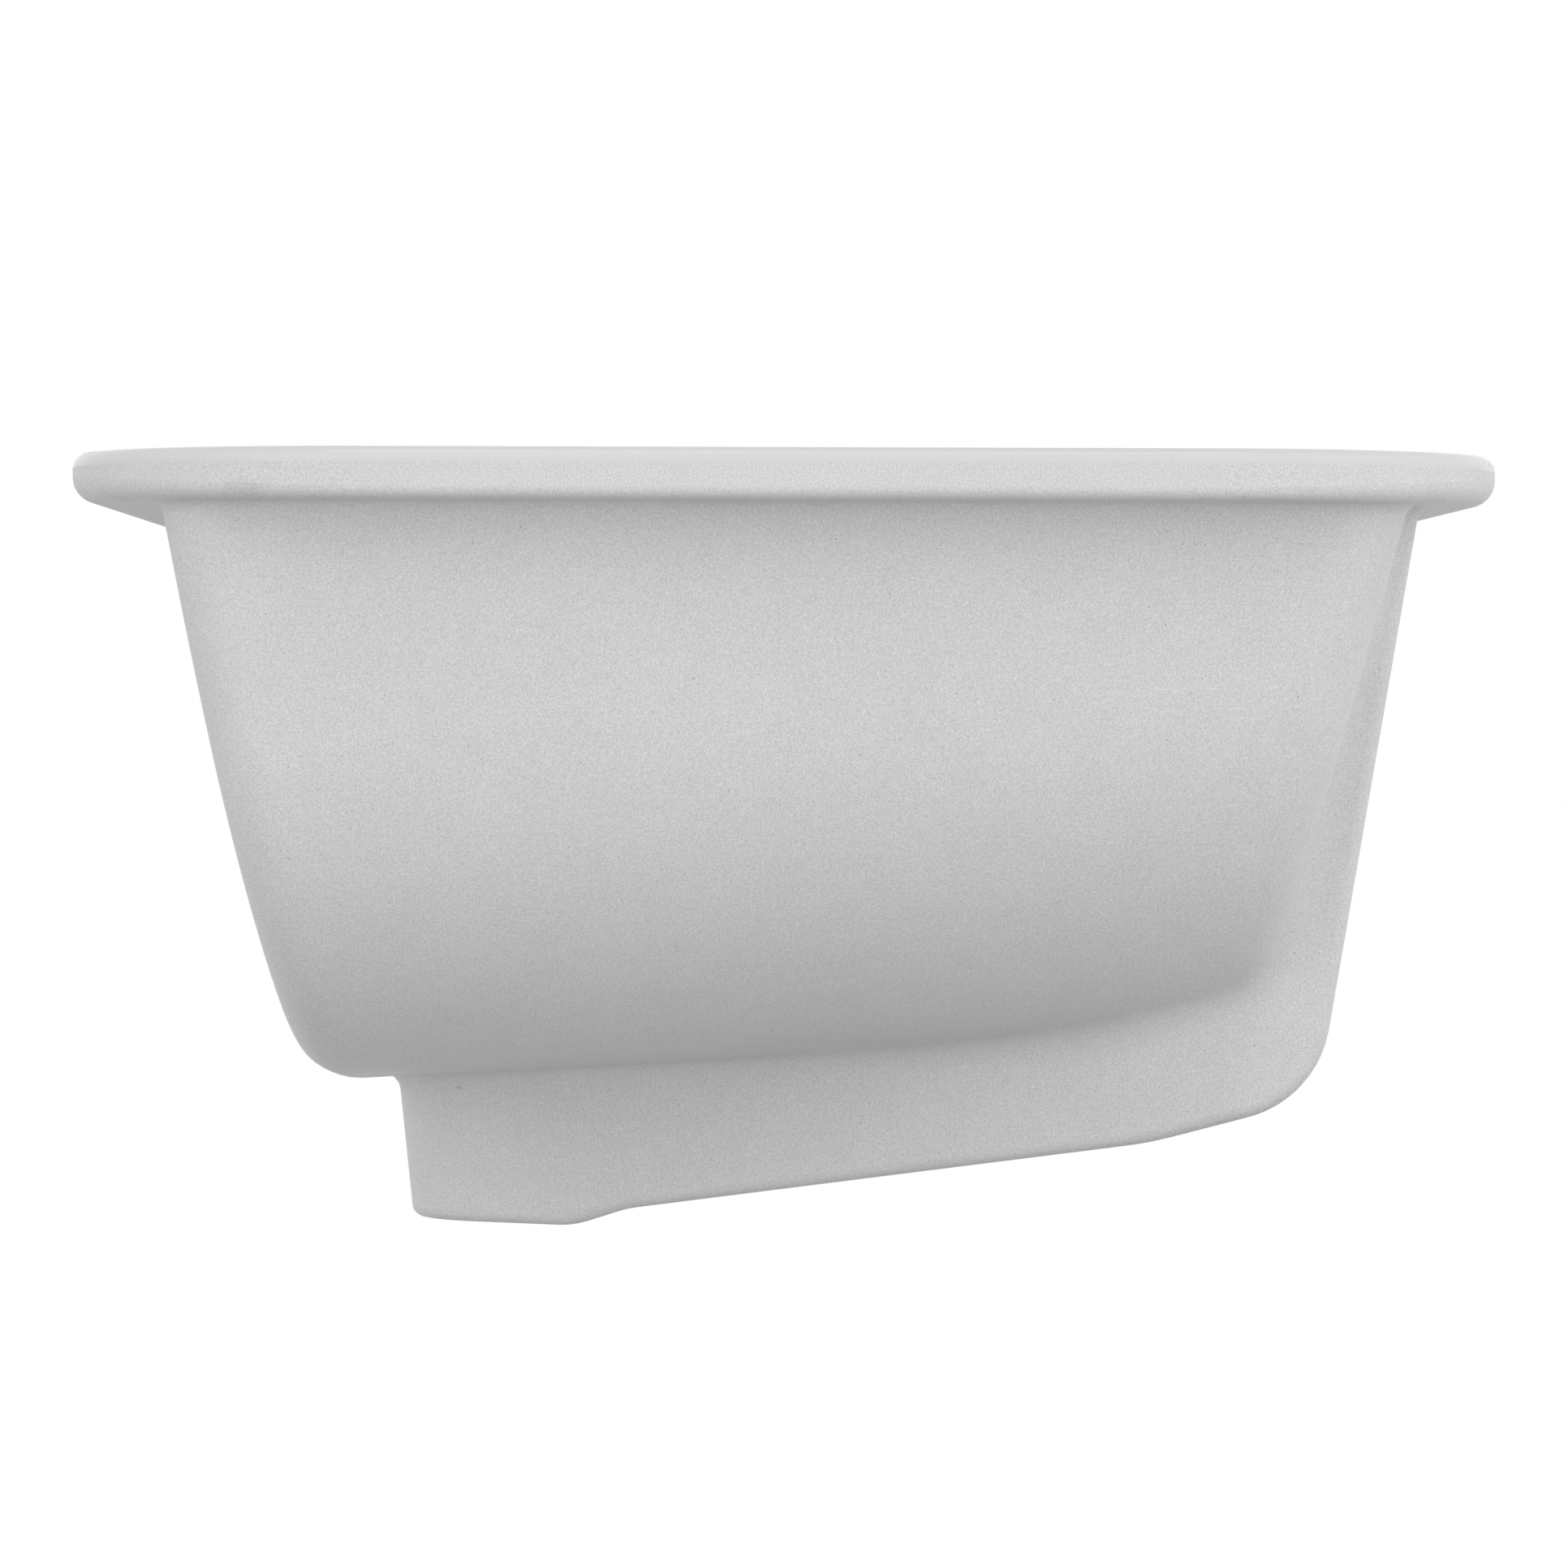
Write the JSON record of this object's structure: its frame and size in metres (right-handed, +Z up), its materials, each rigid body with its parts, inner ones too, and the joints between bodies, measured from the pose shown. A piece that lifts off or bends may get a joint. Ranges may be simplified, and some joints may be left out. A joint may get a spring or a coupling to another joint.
{
  "type": "undermount bathroom sink",
  "caption": "Rectangular undermount basin in white vitreous china with a flat rim, an overflow duct behind its front wall and a push-to-open drain stopper.",
  "frame": {"origin": "middle of the rim's flat top, in the plane that is fixed against the underside of a counter", "axes": "+Z up, out of the bowl's mouth; +X along the sink's length; +Y to the back, where the drain is; -Y to the front, where the overflow is"},
  "size_m": [0.52, 0.381, 0.2159],
  "materials": {
    "vitreous_china": "gloss glaze inside and on the rim, thin matt glaze outside",
    "chromed_brass": "polished chrome plate",
    "plain_brass": "turned",
    "black_rubber": "moulded, matt",
    "nylon_washer": "moulded, matt",
    "white_acetal": "moulded, satin",
    "spring_steel": "drawn stainless wire"
  },
  "bodies": {
    "sink": {"basin": "vitreous_china", "overflow_ring": "chromed_brass", "waste_body": "chromed_brass", "flange_seal": "black_rubber", "lower_gasket": "black_rubber", "slip_washer": "nylon_washer", "ring_nut": "plain_brass", "cartridge_barrel": "white_acetal", "cartridge_end_plug": "white_acetal", "cartridge_spring": "spring_steel"},
    "stopper": {"plunger": "plain_brass", "stopper_cap": "chromed_brass", "stopper_seal": "black_rubber"},
    "rotor": {"latch_rotor": "white_acetal"}
  },
  "joints": [
    {"name": "stopper_push", "type": "slide", "parent": "sink", "child": "stopper", "axis": [0, 0, 1], "range_m": [-0.008, 0], "stiffness_N_per_m": 900, "springref_m": 0.008, "deforming": ["cartridge_spring"]},
    {"name": "latch_turn", "type": "hinge", "parent": "stopper", "child": "rotor", "pos_m": [0, 0.0705, -0.17724], "axis": [0, 0, 1], "range_deg": [0, 60]}
  ],
  "couplings": [
    {"joint": "latch_turn", "follows": "stopper_push", "rad_per_m": -130.89}
  ]
}
